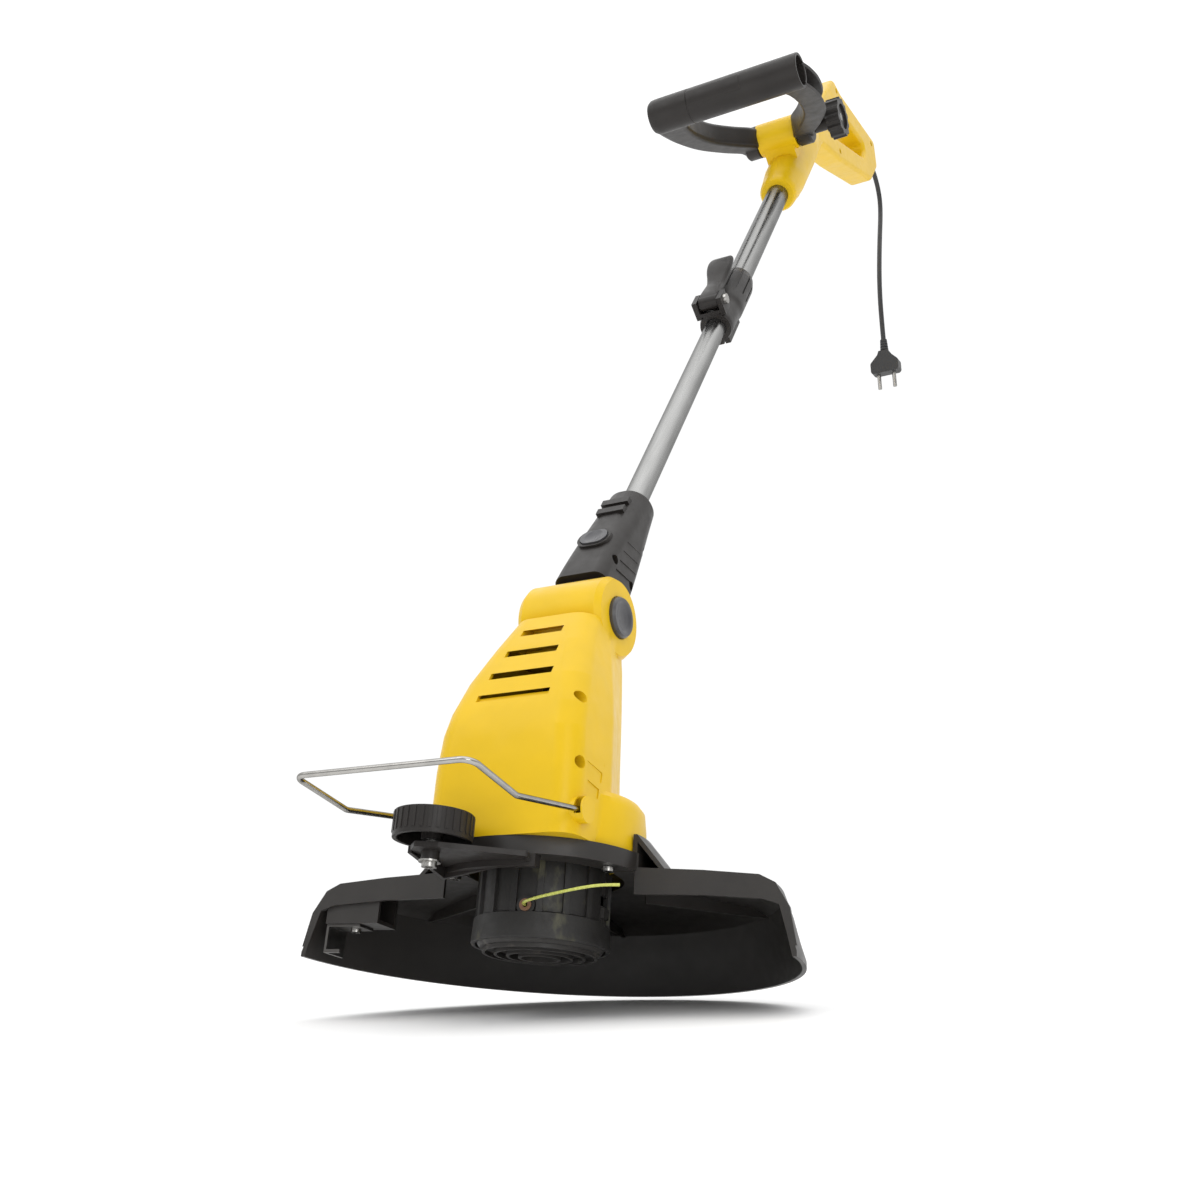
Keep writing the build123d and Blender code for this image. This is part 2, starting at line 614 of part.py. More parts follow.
def clamp_body():
    """Moulded clamp fixed on the upper tube's end: split collar, ears and lever seat."""
    low, high = CLAMP
    bore = UPPER_R + 0.03
    sleeve = lathe([
        (LOWER_R + RUN, low), (13.6, low), (14.6, low + 4), (14.8, low + 30), (16.2, low + 38),
        (16.4, high - 12), (14.6, high - 2), (13.4, high), (bore, high), (bore, UPPER_TUBE[0]),
        (LOWER_R + RUN, UPPER_TUBE[0])])
    ears = [block((middle - 2.25, middle + 2.25), (-26, -10), (LEVER_Z - 8, LEVER_Z + 9))
            for middle in (-11.25, 11.25)]
    saddle = block((-13.5, 13.5), (-16.0, -12.0), (low, LEVER_Z + 9)) - cyl(12, low, high)
    tail = block((-5.5, 5.5), (12, 20), (low + 8, low + 46)) - cyl(12, low, high)
    slits = [block((-0.8, 0.8), (9, 30), (low - 1, UPPER_TUBE[0] - 2))]
    slits += around(12, block((15.2, 20), (-0.8, 0.8), (high - 42, high - 6)), start=15)
    body = sleeve + ears + saddle + tail - slits
    body -= xcyl(9.6, -9.2, 9.2, LEVER_Y, LEVER_Z) - cyl(12.2, low, high)
    return body - xcyl(2.5, -30, 30, LEVER_Y, LEVER_Z)


def clamp_lever():
    """Cam lever, shut: cam between the ears, pad lying up along the sleeve."""
    cam = xcyl(6.2, -8.7, 8.7, LEVER_Y, LEVER_Z)
    arm_outline = [(-26.5, -3), (-27.5, 30), (-27, 60), (-22, 62), (-20.5, 46), (-17.6, 24), (-17.4, 6)]
    pad_outline = [(-27.5, 32), (-30.5, 50), (-32, 67), (-28, 70), (-24, 54), (-19.5, 32)]
    arm = Pos(0, 0, LEVER_Z) * side_profile(arm_outline, 8.7)
    pad = Pos(0, 0, LEVER_Z) * side_profile(pad_outline, 12.0)
    return cam + arm + pad - xcyl(2.5 + RUN, -30, 30, LEVER_Y, LEVER_Z)


def clamp_pin():
    """Pin through the clamp's ears, with a slotted head on the right."""
    return xcyl(2.5, -13.5, 14.5, LEVER_Y, LEVER_Z) + xcyl(4.4, 13.5, 16.4, LEVER_Y, LEVER_Z)


# ---------------------------------------------------------------- rear handle
HANDLE_OUTLINE = [(-17, 716), (-17, 960), (-14, 1006), (8, 1020), (108, 1120), (135, 1096),
                  (133, 1052), (62, 938), (17, 876), (17, 716)]
HANDLE_WINDOW = [(17, 914), (11, 984), (93, 1066), (97, 1040)]


def handle_outer(inset=0.0):
    """Side outline of the rear handle as a prism with rounded corners."""
    face = make_face(Polyline(*[(0, y, z) for y, z in HANDLE_OUTLINE], close=True))
    face = fillet(face.vertices(), 9)
    window = make_face(Polyline(*[(0, y, z) for y, z in HANDLE_WINDOW], close=True))
    window = fillet(window.vertices(), 6)
    if inset:
        face = offset(face, -inset)
        window = offset(window, inset)
    solid = extrude(face - window, GRIP_HALF - inset, dir=(1, 0, 0), both=True)
    return solid


def rear_handle():
    """Rear handle before it is parted: tube socket, cross boss, grip and lower arm."""
    grip = handle_outer()
    rims = grip.edges().filter_by(lambda e: abs(abs(e.center().X) - GRIP_HALF) < 0.01)
    grip = fillet(rims, 5.0)
    socket = lathe([(0, SOCKET_Z), (16.5, SOCKET_Z), (18.5, SOCKET_Z + 3), (SOCKET_R, SOCKET_Z + 40),
                    (SOCKET_R, SOCKET_Z + 120), (16, SOCKET_Z + 165), (0, SOCKET_Z + 165)])
    boss = xcyl(BOSS_R, -BOSS_HALF, BOSS_HALF, BOSS_Y, BOSS_Z)
    web = block((-BOSS_HALF + 4, BOSS_HALF - 4), (BOSS_Y, 0), (BOSS_Z - 15, BOSS_Z + 15))
    body = grip + socket + boss + web
    hollow = handle_outer(WALL + 0.8) & block((-50, 50), (-100, 200), (UPPER_TUBE[1] + 6, 1300))
    body -= hollow
    body -= cyl(UPPER_R, SOCKET_Z - 5, UPPER_TUBE[1])
    body -= cyl(7.5, UPPER_TUBE[1] - 5, UPPER_TUBE[1] + 20)
    body -= xcyl(4.0, -60, 60, BOSS_Y, BOSS_Z)
    body -= trigger_frame() * block((-7.4, 7.4), (-21.5, 21.5), (-12, 8.5))
    for middle in (-15.5, 15.5):
        rib = trigger_frame() * block((-12, 12), (middle - 1.5, middle + 1.5), (-25, -14))
        body = body + (rib & hollow)
    body -= gland_frame() * cyl(5.0, -20, 4)
    body -= Pos(0, 97.5, 990) * Rot(-32, 0, 0) * Box(9, 3, 26)
    for y, z in HANDLE_SCREWS:
        body = body + (xcyl(4.2, -12, 12, y, z) & hollow)
        body -= xcyl(1.7, -8, 40, y, z)
        body -= xcyl(3.4, 9.5, 40, y, z)
    return body


HANDLE_SCREWS = [(-10.0, 850.0), (0.0, 1003.0), (103.0, 1099.0), (50.0, 938.0)]


def trigger_frame():
    """Frame on the grip's finger side: Z points out of the grip, Y along it."""
    return Location((0, 31, 1004), (-135, 0, 0))


def trigger():
    """Switch trigger that stands out of the grip's finger side."""
    outline = [(-20, -6), (-21, 4), (-14, 9), (0, 11.5), (14, 9), (20, 4), (20, -6)]
    face = make_face(Polyline(*[(0, y, z) for y, z in outline], close=True))
    return extrude(fillet(face.vertices(), 2), 7.0, dir=(1, 0, 0), both=True)


def power_switch():
    """Mains switch inside the grip, behind the trigger, between two ribs of the handle."""
    return block((-7, 7), (-14, 14), (-22, -14.4)) + block((-2, 2), (-3, 3), (-14.5, -13.2))


def gland_frame():
    """Frame of the cord exit: Z points out of the handle's rear face."""
    return Location((0, 121.5, 1108.2), (-41.6, 0, 0))


def cord_gland():
    """Ribbed rubber sleeve that leads the cord out of the handle."""
    bore = CORD_D / 2
    sleeve = lathe([
        (bore, -10), (5.0, -10), (5.0, 0), (6.4, 0), (6.4, 2.5), (5.4, 3.5), (4.6, GLAND_TIP),
        (bore, GLAND_TIP)])
    grooves = [ring(8, 4.1, z, z + 1.2) for z in (4.4, 7.0)]
    return sleeve - grooves


def front_handle():
    """Moulded loop: two eyes on the cross bolt, two arms and a grip bar."""
    eye = 17.0
    reach, half = LOOP_REACH, LOOP_HALF
    outer = [(BOSS_HALF + 0.3, -eye), (36, -eye), (36, 14), (62, 46), (half, 104), (half, reach + 12),
             (half - 6, reach + 16)]
    inner = [(BOSS_HALF + 0.3, 30), (52, 78), (56, reach - 16)]
    outline = outer + [(-x, y) for x, y in outer[::-1]]
    window = inner + [(-x, y) for x, y in inner[::-1]]
    face = make_face(Polyline(*[(x, y, 0) for x, y in outline], close=True))
    hole = make_face(Polyline(*[(x, y, 0) for x, y in window], close=True))
    face = face - fillet(hole.vertices(), 10)
    plate = extrude(face, 11, both=True)
    slot = block((-BOSS_HALF - 0.3, BOSS_HALF + 0.3), (-40, 30.5), (-40, 40))
    eyes = [xcyl(eye, side * 28.15 - 7.85, side * 28.15 + 7.85, 0, 0) for side in (-1, 1)]
    limit = xcyl(eye, -40, 40, 0, 0) + block((-200, 200), (0, 300), (-11, 11))
    grip = xcyl(15.0, -half, half, reach, 0)
    body = (plate & limit) - slot + eyes + grip
    body -= xcyl(11.6, -half + 4, half + 4, reach, 0)
    return body - xcyl(4.0, -60, 60, 0, 0)


def loop_frame():
    """Frame of the front handle: X along the bolt, Y out to the grip bar."""
    return Location((0, BOSS_Y, BOSS_Z), (-90 - LOOP_ANGLE, 0, 0))


def cross_bolt():
    """Bolt through the front handle's eyes and the handle's boss."""
    head = Pos(-37.6, 0, 0) * Rot(0, 90, 0) * extrude(RegularPolygon(7.5, 6), 5, both=True)
    thread = xcyl(3.9, -36.5, 68, 0, 0)
    return (head & block((-41.5, -36.0), (-20, 20), (-20, 20))) + thread


def knob():
    """Fluted knob with a long collar that tightens the front handle."""
    collar = xcyl(8.5, 36.3, 56.5, 0, 0)
    star = xcyl(20.0, 56, 70, 0, 0)
    flutes = [Rot(30 * k, 0, 0) * Pos(63, 0, 22.0) * Rot(0, 90, 0) * Cylinder(4.2, 20) for k in range(12)]
    face = xcyl(13, 67.5, 75, 0, 0)
    return collar + star - flutes - face - xcyl(3.9 + RUN, 30, 69.0, 0, 0)


# ---------------------------------------------------------------- cord and plug
def cord_route():
    """Cord centre line in the row frame, from the gland's tip down to the plug."""
    exit_frame = SHAFT * gland_frame()
    start = (exit_frame * Location((0, 0, GLAND_TIP))).position
    lead = (exit_frame * Location((0, 0, GLAND_TIP + 15))).position
    y, z = lead.Y, lead.Z
    points = [(0.0, start.Y, start.Z), (0.0, y, z)]
    for heading, run in CORD_RUNS:
        y += run * math.cos(math.radians(heading))
        z += run * math.sin(math.radians(heading))
        points.append((0.0, y, z))
    return points


# Heading in degrees above the horizontal, looking back, and length of each run of the cord.
CORD_RUNS = [(-17, 15.5), (-41, 15.5), (-65, 15.5), (-89, 15.5), (-105, 22), (-111, 30), (-109, 38),
             (-106, 38), (-99, 34), (-92, 28), (-90, 24)]


def plug_frame():
    """Frame of the plug: its pins point straight down."""
    x, y, z = cord_route()[-1]
    return Location((x, y, z))


def plug_body():
    """Two-pole contour plug with a ribbed strain relief."""
    relief = lathe([(0, 0), (4.2, 0), (5.4, -17), (0, -17)])
    relief = relief - [ring(8, 3.9, -4.4 - 3.6 * k, -3 - 3.6 * k) for k in range(4)]
    outline = [(-6, -16), (-8, -21), (-17.6, -31), (-17.6, PLUG_FACE), (17.6, PLUG_FACE), (17.6, -31),
               (8, -21), (6, -16)]
    face = make_face(Polyline(*[(x, 0, z) for x, z in outline], close=True))
    face = fillet(face.vertices().sort_by(Axis.Z)[:4], 4)
    slab = extrude(face, 7.0, dir=(0, 1, 0), both=True)
    holes = [cyl(PIN_R - 0.5, PLUG_FACE - 1, PLUG_FACE + 10, x=side * PIN_SPACING / 2) for side in (-1, 1)]
    return relief + slab - holes


def plug_pins():
    """Two round contact pins, thinner where the plug holds them."""
    pin = cyl(PIN_R, PLUG_FACE - PIN_LENGTH, PLUG_FACE) + cyl(PIN_R - 0.5, PLUG_FACE, PLUG_FACE + 10)
    return Compound(children=[Pos(side * PIN_SPACING / 2, 0, 0) * pin for side in (-1, 1)])


# ---------------------------------------------------------------- build
def build_head():
    """Line head, motor, guard and casing, in the head frame."""
    add("drum", HEAD, drum())
    add("eyelets", HEAD, eyelets())
    add("bump_cap", HEAD, bump_cap())
    add("spool", HEAD, spool())
    add("line_windings", HEAD, line_windings())
    add("bump_spring", HEAD, coil(11.0, 1.3, 35.8, 42.2, 3))
    add("cutting_line_front", HEAD, tube_along(line_route(0), LINE_D, 5))
    add("cutting_line_rear", HEAD, tube_along(line_route(180), LINE_D, 5))
    turned = HEAD * Location((0, 0, 0), (0, 0, GUARD_TURN))
    add("guard", turned, guard())
    add("guard_screws", HEAD, guard_screws())
    add("line_cutter", turned, line_cutter())
    add("cutter_screw", turned, cutter_screw())
    add("wheel_bracket", HEAD, wheel_bracket())
    add("edge_wheel", HEAD, edge_wheel())
    add("wheel_screw", HEAD, wheel_screw())
    add("wheel_washer", HEAD, wheel_washer())
    add("wire_guard", HEAD, wire_guard())
    left, right = halves(casing())
    add("housing_left", HEAD, left)
    add("housing_right", HEAD, right)
    add("housing_screws", HEAD, casing_screws())
    add("pivot_axle", HEAD, pivot_axle())
    add("tilt_button", HEAD, tilt_button())
    add("motor_shaft", HEAD, cyl(4.0, 12, 162))
    add("rotor_core", HEAD, rotor_core())
    add("rotor_windings", HEAD, rotor_windings())
    add("commutator", HEAD, commutator())
    add("fan", HEAD, fan())
    add("stator_core", HEAD, stator_core())
    add("field_windings", HEAD, field_windings())
    add("lower_bearing", HEAD, ball_bearing(11.0, 54, 61))
    add("upper_bearing", HEAD, ball_bearing(8.0, 150, 155))
    add("top_bracket", HEAD, top_bracket())
    add("brush_holders", HEAD, brush_holders())
    add("carbon_brushes", HEAD, brushes())


def build_shaft():
    """Neck, tubes and length clamp, in the shaft frame."""
    left, right = halves(neck())
    add("neck_left", SHAFT, left)
    add("neck_right", SHAFT, right)
    add("neck_screws", SHAFT, neck_screws())
    add("neck_button", SHAFT, neck_button())
    add("neck_spring", SHAFT, neck_spring())
    add("lower_tube", SHAFT, tube(LOWER_R, *LOWER_TUBE))
    add("tube_bush", SHAFT, tube_bush())
    add("upper_tube", SHAFT, tube(UPPER_R, *UPPER_TUBE))
    add("clamp_body", SHAFT, clamp_body())
    add("clamp_lever", SHAFT, clamp_lever())
    add("clamp_pin", SHAFT, clamp_pin())


def build_handles():
    """Rear handle with its switch gear, and the front loop handle."""
    left, right = halves(rear_handle())
    add("rear_handle_left", SHAFT, left)
    add("rear_handle_right", SHAFT, right)
    one = Rot(0, 90, 0) * screw(1.7, 3.2, 2.2, 17)
    add("handle_screws", SHAFT, Compound(children=[Pos(9.5, y, z) * one for y, z in HANDLE_SCREWS]))
    add("trigger", SHAFT * trigger_frame(), trigger())
    add("power_switch", SHAFT * trigger_frame(), power_switch())
    add("cord_gland", SHAFT * gland_frame(), cord_gland())
    add("front_handle", SHAFT * loop_frame(), front_handle())
    add("cross_bolt", SHAFT * loop_frame(), cross_bolt())
    add("knob", SHAFT * loop_frame(), knob())


def build_cord():
    """Mains cord and plug, in the row frame."""
    add("mains_cord", Location(), tube_along(cord_route(), CORD_D, 5))
    add("plug_body", plug_frame(), plug_body())
    add("plug_pins", plug_frame(), plug_pins())


build_head()
build_shaft()
build_handles()
build_cord()
for name, shape in NODES.items():
    export_step(shape, f"parts/{name}.step")
print(len(NODES), "nodes")
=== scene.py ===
import json
import math

import bmesh
import bpy
from mathutils import Matrix, Vector


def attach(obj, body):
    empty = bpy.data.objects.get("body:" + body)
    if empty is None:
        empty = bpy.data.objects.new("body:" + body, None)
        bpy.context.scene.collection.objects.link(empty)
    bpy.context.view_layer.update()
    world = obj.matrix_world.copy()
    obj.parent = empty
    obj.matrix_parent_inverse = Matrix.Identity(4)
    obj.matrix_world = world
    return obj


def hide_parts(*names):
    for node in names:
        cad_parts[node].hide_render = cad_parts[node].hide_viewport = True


# String trimmer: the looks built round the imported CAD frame. Metres, row frame, origin in
# the rear grip, +Y back to the operator, +Z up.

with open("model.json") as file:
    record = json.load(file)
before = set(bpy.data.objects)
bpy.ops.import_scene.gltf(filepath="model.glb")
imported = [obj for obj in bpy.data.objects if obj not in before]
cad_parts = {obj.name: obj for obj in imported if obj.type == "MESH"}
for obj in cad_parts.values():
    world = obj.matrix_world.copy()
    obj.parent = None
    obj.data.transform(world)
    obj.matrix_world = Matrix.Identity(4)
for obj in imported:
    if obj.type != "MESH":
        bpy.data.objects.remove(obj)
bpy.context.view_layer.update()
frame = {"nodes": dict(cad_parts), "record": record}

# ---------------------------------------------------------------- driving values
MM = 0.001
LEAN = math.radians(12)             # spindle, off the vertical
SHAFT_TILT = math.radians(29)       # shaft, off the spindle
KNUCKLE = Vector((0, 15, 208)) * MM
GRIP = Vector((0, 50, 1052)) * MM
CORD_D = 6 * MM
LINE_D = 1.6 * MM
FLOOR_Z = -0.9990
FLOOR_HALF = 12
WELD = 0.01 * MM                    # points nearer than this are one
CAD_CREASE = math.radians(32)       # sharper edges of a CAD form are rounded
CREASE = math.radians(35)           # the same for a form made here

RX = Matrix.Rotation(-LEAN, 4, "X")
IN_HEAD = Matrix.Translation(KNUCKLE) @ Matrix.Rotation(-SHAFT_TILT, 4, "X")
HEAD = Matrix.Translation(-(RX @ IN_HEAD @ GRIP)) @ RX
SHAFT = HEAD @ IN_HEAD

BODY_OF = {node: body for body, nodes in frame["record"]["behaviour"]["bodies"].items()
           for node in nodes}
SLOT_OF = {part["node"]: part["material_slot"] for part in frame["record"]["subparts"]}


# ---------------------------------------------------------------- materials
def new_material(name):
    """An empty node material and its principled shader."""
    made = bpy.data.materials.new(name)
    made.use_nodes = True
    return made, made.node_tree, made.node_tree.nodes["Principled BSDF"]


def coordinates(tree, scale):
    """Object coordinates stretched by a scale for each axis."""
    source = tree.nodes.new("ShaderNodeTexCoord")
    mapping = tree.nodes.new("ShaderNodeMapping")
    mapping.inputs["Scale"].default_value = scale
    tree.links.new(source.outputs["Object"], mapping.inputs["Vector"])
    return mapping.outputs["Vector"]


def noise(tree, size, detail=3.0, stretch=(1, 1, 1)):
    """Noise with features about as long as size, in metres."""
    node = tree.nodes.new("ShaderNodeTexNoise")
    node.inputs["Scale"].default_value = 1 / size
    node.inputs["Detail"].default_value = detail
    tree.links.new(coordinates(tree, stretch), node.inputs["Vector"])
    return node.outputs["Fac"]


def ramp(tree, value, low, high, first, second):
    """Blend two colours as value goes from low to high."""
    node = tree.nodes.new("ShaderNodeValToRGB")
    node.color_ramp.elements[0].position = low
    node.color_ramp.elements[1].position = high
    node.color_ramp.elements[0].color = (*first, 1)
    node.color_ramp.elements[1].color = (*second, 1)
    tree.links.new(value, node.inputs["Fac"])
    return node.outputs["Color"]


def ranged(tree, value, low, high, first, second):
    """Take value from its range low to high onto first to second."""
    node = tree.nodes.new("ShaderNodeMapRange")
    node.inputs["From Min"].default_value = low
    node.inputs["From Max"].default_value = high
    node.inputs["To Min"].default_value = first
    node.inputs["To Max"].default_value = second
    tree.links.new(value, node.inputs["Value"])
    return node.outputs["Result"]


def spread(tree, value, low, high):
    """Take the usual range of noise onto low to high."""
    return ranged(tree, value, 0.3, 0.7, low, high)


def bump(tree, shader, height, depth):
    """Bump the shader's normal by a height texture, depth in metres."""
    node = tree.nodes.new("ShaderNodeBump")
    node.inputs["Distance"].default_value = depth
    tree.links.new(height, node.inputs["Height"])
    tree.links.new(node.outputs["Normal"], shader.inputs["Normal"])


def shade(colour, factor):
    """A colour made lighter or darker."""
    return tuple(min(1.0, c * factor) for c in colour)


def plastic(name, colour, rough, grain=0.0004, depth=0.00002, vary=0.12, specular=0.5):
    """Moulded plastic with faint mottling, uneven gloss and a fine grain."""
    made, tree, shader = new_material(name)
    cloud = noise(tree, 0.03, 4)
    tone = ramp(tree, cloud, 0.35, 0.65, shade(colour, 1 - vary), shade(colour, 1 + vary))
    tree.links.new(tone, shader.inputs["Base Color"])
    tree.links.new(spread(tree, noise(tree, 0.008, 5), rough - 0.05, rough + 0.06),
                   shader.inputs["Roughness"])
    shader.inputs["Specular IOR Level"].default_value = specular
    bump(tree, shader, noise(tree, grain, 2), depth)
    return made


def scuffed_plastic(name, colour, mark, rough):
    """Black plastic with worn, coloured scuffs."""
    made, tree, shader = new_material(name)
    base = ramp(tree, noise(tree, 0.02, 4), 0.35, 0.65, shade(colour, 0.85), shade(colour, 1.2))
    patch = ramp(tree, noise(tree, 0.012, 8, (1, 1, 0.5)), 0.60, 0.72, (0, 0, 0),
                 (0.6, 0.6, 0.6))
    mix = tree.nodes.new("ShaderNodeMix")
    mix.data_type = "RGBA"
    tree.links.new(patch, mix.inputs["Factor"])
    tree.links.new(base, mix.inputs["A"])
    mix.inputs["B"].default_value = (*mark, 1)
    tree.links.new(mix.outputs["Result"], shader.inputs["Base Color"])
    tree.links.new(spread(tree, noise(tree, 0.006, 6), rough, rough + 0.2),
                   shader.inputs["Roughness"])
    bump(tree, shader, noise(tree, 0.0012, 6), 0.00006)
    return made


def metal(name, colour, rough, stretch=(1, 1, 1), size=0.004, depth=0.000004, rim=1.0):
    """Bare metal with drawing marks along the least stretched axis; rim dims its glancing gloss."""
    made, tree, shader = new_material(name)
    streak = noise(tree, size, 5, stretch)
    tone = ramp(tree, streak, 0.3, 0.7, shade(colour, 0.88), shade(colour, 1.06))
    tree.links.new(tone, shader.inputs["Base Color"])
    tree.links.new(spread(tree, streak, rough - 0.04, rough + 0.08), shader.inputs["Roughness"])
    shader.inputs["Metallic"].default_value = 1.0
    shader.inputs["Specular Tint"].default_value = (rim, rim, rim, 1)
    bump(tree, shader, streak, depth)
    return made


def line_nylon(name, colour):
    """Slightly clear extruded line."""
    made, tree, shader = new_material(name)
    tone = ramp(tree, noise(tree, 0.02, 2), 0.3, 0.7, shade(colour, 0.9), shade(colour, 1.08))
    tree.links.new(tone, shader.inputs["Base Color"])
    shader.inputs["Transmission Weight"].default_value = 0.15
    tree.links.new(spread(tree, noise(tree, 0.002, 3), 0.22, 0.34), shader.inputs["Roughness"])
    return made


def laminated(name, colour):
    """Stacked steel laminations."""
    made, tree, shader = new_material(name)
    wave = tree.nodes.new("ShaderNodeTexWave")
    wave.bands_direction = "Z"
    wave.inputs["Scale"].default_value = 300
    wave.inputs["Distortion"].default_value = 0.4
    tree.links.new(coordinates(tree, (1, 1, 1)), wave.inputs["Vector"])
    tone = ramp(tree, wave.outputs["Fac"], 0.2, 0.8, shade(colour, 0.7), shade(colour, 1.1))
    tree.links.new(tone, shader.inputs["Base Color"])
    tree.links.new(spread(tree, noise(tree, 0.003, 3), 0.4, 0.55), shader.inputs["Roughness"])
    shader.inputs["Metallic"].default_value = 0.9
    return made


BLACK = (0.018, 0.0155, 0.014)
MATERIALS = {
    "yellow_plastic": plastic("yellow_plastic", (0.71, 0.455, 0.006), 0.36, grain=0.0006,
                              depth=0.000008, vary=0.03, specular=0.25),
    "black_plastic": plastic("black_plastic", BLACK, 0.42, grain=0.0005, depth=0.00003,
                             specular=0.32),
    "guard_plastic": plastic("guard_plastic", (0.021, 0.0185, 0.0165), 0.42, grain=0.0009,
                             depth=0.00001),
    "button_plastic": plastic("button_plastic", (0.055, 0.055, 0.06), 0.32, grain=0.0006,
                              depth=0.00001),
    "tube_aluminium": metal("tube_aluminium", (0.34, 0.34, 0.335), 0.24,
                            stretch=(1, 0.05, 0.05), size=0.0015, depth=0.000002, rim=0.45),
    "bright_steel": metal("bright_steel", (0.45, 0.44, 0.42), 0.22, rim=0.6),
    "blade_steel": metal("blade_steel", (0.12, 0.115, 0.11), 0.42),
    "wire_steel": metal("wire_steel", (0.42, 0.41, 0.39), 0.16, size=0.006, rim=0.4),
    "laminated_steel": laminated("laminated_steel", (0.35, 0.35, 0.36)),
    "copper": metal("copper", (0.62, 0.33, 0.16), 0.35),
    "brass": metal("brass", (0.75, 0.58, 0.3), 0.3),
    "carbon": plastic("carbon", (0.03, 0.03, 0.03), 0.6),
    "line_nylon": line_nylon("line_nylon", (0.55, 0.58, 0.12)),
    "wound_line": plastic("wound_line", (0.55, 0.6, 0.15), 0.3, grain=0.0016, depth=0.0003),
    "cord_jacket": plastic("cord_jacket", (0.022, 0.022, 0.023), 0.45, grain=0.0005,
                           depth=0.00003),
}
WORN = scuffed_plastic("worn_plastic", (0.012, 0.011, 0.010), (0.12, 0.115, 0.06), 0.45)
CAP_GREY = scuffed_plastic("worn_cap", (0.022, 0.020, 0.018), (0.15, 0.13, 0.11), 0.45)
OLD_COPPER = metal("old_copper", (0.26, 0.15, 0.10), 0.45)
SPECIAL = {"drum": WORN, "bump_cap": CAP_GREY, "eyelets": OLD_COPPER}


def finish_of(node):
    """The material of a CAD node's slot, or its own one where it is worn."""
    return SPECIAL.get(node, MATERIALS[SLOT_OF[node]])


def paint(obj, made):
    """Give a mesh or curve one material."""
    obj.data.materials.clear()
    obj.data.materials.append(made)


# ---------------------------------------------------------------- meshes
def place(obj, node):
    """Hang a look on its CAD body in place of its CAD node, with that node's finish."""
    paint(obj, finish_of(node))
    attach(obj, BODY_OF[node])
    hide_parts(node)


def link(name, data):
    """A new object in the scene."""
    obj = bpy.data.objects.new(name, data)
    bpy.context.scene.collection.objects.link(obj)
    return obj


def creased(form, angle):
    """Shade a form smooth but for its edges sharper than angle."""
    for face in form.faces:
        face.smooth = True
    for edge in form.edges:
        edge.smooth = not edge.is_manifold or edge.calc_face_angle(0) < angle


def bevelled(obj, width, angle):
    """Round an object's edges that are sharper than angle."""
    edges = obj.modifiers.new("edges", "BEVEL")
    edges.width = width
    edges.segments = 3
    edges.limit_method = "ANGLE"
    edges.angle_limit = angle
    normals = obj.modifiers.new("normals", "WEIGHTED_NORMAL")
    normals.keep_sharp = False
    return edges


def softened(node, width):
    """The CAD node's own form with moulded, rounded edges."""
    mesh = frame["nodes"][node].data.copy()
    form = bmesh.new()
    form.from_mesh(mesh)
    bmesh.ops.remove_doubles(form, verts=form.verts, dist=WELD)
    creased(form, CAD_CREASE)
    form.to_mesh(mesh)
    form.free()
    if mesh.attributes.get("custom_normal"):
        mesh.attributes.remove(mesh.attributes["custom_normal"])
    obj = link("look." + node, mesh)
    obj.matrix_world = frame["nodes"][node].matrix_world
    bevelled(obj, width, CAD_CREASE).miter_outer = "MITER_ARC"
    place(obj, node)


# Width in metres of each outer moulding's rounded edges.
SOFT_EDGES = {
    "housing_left": 0.0009, "housing_right": 0.0009, "rear_handle_left": 0.0008,
    "rear_handle_right": 0.0008, "neck_left": 0.0006, "neck_right": 0.0006,
    "guard": 0.0006, "wheel_bracket": 0.0006, "edge_wheel": 0.0004, "drum": 0.0005,
    "bump_cap": 0.0004, "clamp_body": 0.0005, "knob": 0.0012, "tilt_button": 0.0004,
    "neck_button": 0.0005, "trigger": 0.001, "plug_body": 0.0008, "cord_gland": 0.0003,
    "line_cutter": 0.0002, "clamp_pin": 0.0003, "cross_bolt": 0.0003,
}


def soften_all():
    """Rounded copies of every outer moulding, and finishes for all other CAD nodes."""
    for node, width in SOFT_EDGES.items():
        softened(node, width)
    for node, obj in frame["nodes"].items():
        if node not in SOFT_EDGES:
            paint(obj, finish_of(node))
    place(front_handle(), "front_handle")
    place(clamp_lever(), "clamp_lever")


# ---------------------------------------------------------------- swept and turned forms
def smooth_path(points, steps):
    """Catmull-Rom points through the given ones."""
    ends = [points[0] * 2 - points[1], *points, points[-1] * 2 - points[-2]]
    path = []
    for a, b, c, d in zip(ends, ends[1:], ends[2:], ends[3:]):
        for k in range(steps):
            t = k / steps
            path.append(0.5 * ((2 * b) + (c - a) * t + (2 * a - 5 * b + 4 * c - d) * t * t
                               + (3 * b - a - 3 * c + d) * t ** 3))
    return path + [points[-1]]


def swept(form, outline, path, side, widen=0.0):
    """Sweep a closed outline of (out, side) pairs along a path, widening to the path's end."""
    rings = []
    for k, at in enumerate(path):
        ahead = (path[min(k + 1, len(path) - 1)] - path[max(k - 1, 0)]).normalized()
        out = ahead.cross(side).normalized() * (1 + widen * (k / len(path)) ** 4)
        rings.append([form.verts.new(at + out * a + side * b) for a, b in outline])
    closed(form, rings)


def closed(form, rings):
    """Skin a row of equal rings of vertices, and close its two ends."""
    for first, second in zip(rings, rings[1:]):
        for k in range(len(first)):
            n = (k + 1) % len(first)
            form.faces.new((first[k], first[n], second[n], second[k]))
    form.faces.new(rings[0][::-1])
    form.faces.new(rings[-1])


